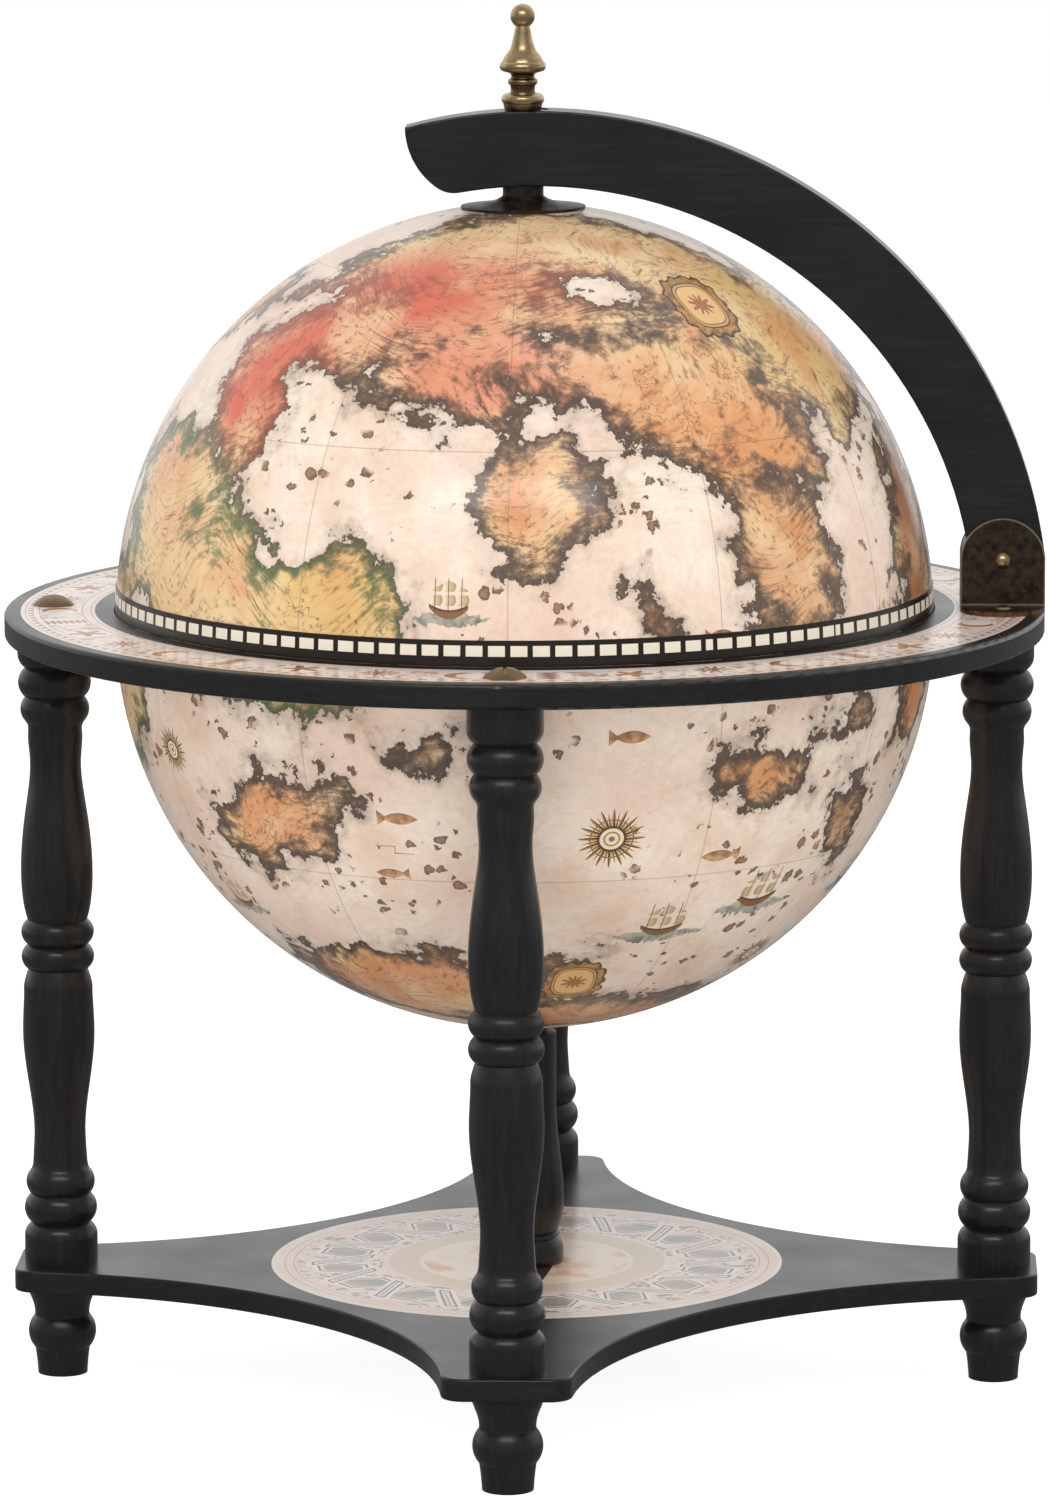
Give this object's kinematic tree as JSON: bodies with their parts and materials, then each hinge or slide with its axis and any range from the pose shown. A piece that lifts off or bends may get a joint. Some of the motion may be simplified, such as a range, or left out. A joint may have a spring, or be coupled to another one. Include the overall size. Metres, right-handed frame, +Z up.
{
  "type": "tabletop globe bar",
  "caption": "Table globe on a four-legged black stand; the upper half hinges open on a curved arm over a rack for a bottle and glasses.",
  "frame": {"origin": "on the floor, under the globe's centre", "axes": "+Z up, the front is -Y, the lid's hinge is at +X"},
  "size_m": [0.42, 0.42, 0.5616],
  "materials": {
    "black_lacquer": "satin black lacquer",
    "map_shell": "varnished antique map print on a moulded shell",
    "printed_paper": "varnished print",
    "rim_print": "black band with pale dashes",
    "stained_wood": "stained and varnished",
    "antique_brass": "antique brass",
    "dark_bronze": "dark antique bronze",
    "plated_steel": "zinc plated",
    "nylon": "natural nylon",
    "pad_rubber": "matt"
  },
  "bodies": {
    "stand": {"base_plate": "black_lacquer", "base_print": "printed_paper", "centre_post": "black_lacquer", "post_screw": "plated_steel", "leg_front": "black_lacquer", "leg_right": "black_lacquer", "leg_back": "black_lacquer", "leg_left": "black_lacquer", "foot_front": "black_lacquer", "foot_right": "black_lacquer", "foot_back": "black_lacquer", "foot_left": "black_lacquer", "leg_studs": "plated_steel", "horizon_ring": "black_lacquer", "ring_print": "printed_paper", "ring_screws": "antique_brass", "hinge_leg_screw": "plated_steel", "lower_bowl": "map_shell", "bowl_screw": "plated_steel", "bowl_washer": "plated_steel", "bottle_seat": "stained_wood", "rack_board": "stained_wood", "rack_floor": "stained_wood", "rack_spacers": "stained_wood", "rack_screws": "plated_steel", "rack_cleats": "stained_wood", "cleat_screws": "plated_steel", "hinge_bracket_front": "dark_bronze", "hinge_bracket_back": "dark_bronze", "hinge_pin": "antique_brass", "hinge_washers": "nylon", "bracket_screws": "dark_bronze", "stop_pad": "pad_rubber"},
    "lid": {"lid_arm": "black_lacquer", "finial": "antique_brass", "pole_stud": "plated_steel", "arm_washer": "nylon", "pole_washer": "plated_steel", "pole_nut": "plated_steel"},
    "upper_half": {"upper_globe": "map_shell", "rim_band": "rim_print", "pole_collar": "dark_bronze"}
  },
  "joints": [
    {"name": "lid_hinge", "type": "hinge", "parent": "stand", "child": "lid", "pos_m": [0.1928, 0, 0.339], "axis": [0, 1, 0], "range_deg": [0, 95]},
    {"name": "globe_swivel", "type": "hinge", "parent": "lid", "child": "upper_half", "pos_m": [0, 0, 0.4], "axis": [0, 0, 1], "continuous": true}
  ]
}
